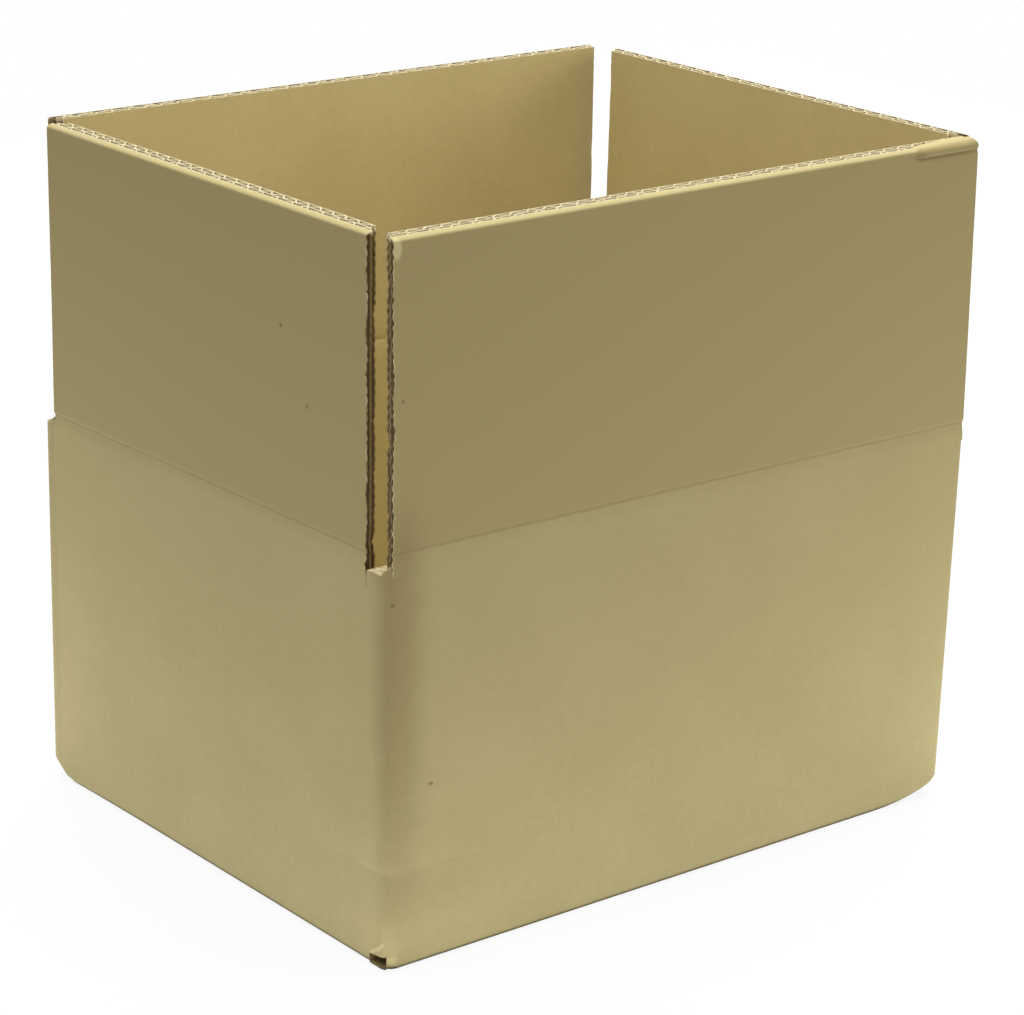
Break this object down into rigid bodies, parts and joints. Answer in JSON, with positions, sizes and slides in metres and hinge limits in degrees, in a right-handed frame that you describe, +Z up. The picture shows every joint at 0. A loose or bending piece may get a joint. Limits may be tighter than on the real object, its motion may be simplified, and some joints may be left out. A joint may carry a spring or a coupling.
{
  "type": "regular slotted corrugated carton",
  "caption": "Rectangular carton of double-wall corrugated board with a closed glued bottom and four slotted top flaps standing open.",
  "frame": {"origin": "middle of the underside, on the surface the carton stands on", "axes": "+X along the length and the wide flaps, +Y along the width towards the back, +Z up through the open top"},
  "size_m": [0.24, 0.198, 0.2325],
  "materials": {
    "kraft_board": "matte brown kraft board"
  },
  "bodies": {
    "box": {"carton_body": "kraft_board"},
    "front_flap": {"front_flap": "kraft_board"},
    "right_flap": {"right_flap": "kraft_board"},
    "back_flap": {"back_flap": "kraft_board"},
    "left_flap": {"left_flap": "kraft_board"}
  },
  "joints": [
    {"name": "front_flap_fold", "type": "hinge", "parent": "box", "child": "front_flap", "pos_m": [0, -0.099, 0.1383], "axis": [-1, 0, 0], "range_deg": [-174, 90]},
    {"name": "right_flap_fold", "type": "hinge", "parent": "box", "child": "right_flap", "pos_m": [0.12, 0, 0.1309], "axis": [0, -1, 0], "range_deg": [-174, 90]},
    {"name": "back_flap_fold", "type": "hinge", "parent": "box", "child": "back_flap", "pos_m": [0, 0.099, 0.1383], "axis": [1, 0, 0], "range_deg": [-174, 90]},
    {"name": "left_flap_fold", "type": "hinge", "parent": "box", "child": "left_flap", "pos_m": [-0.12, 0, 0.1309], "axis": [0, 1, 0], "range_deg": [-174, 90]}
  ]
}
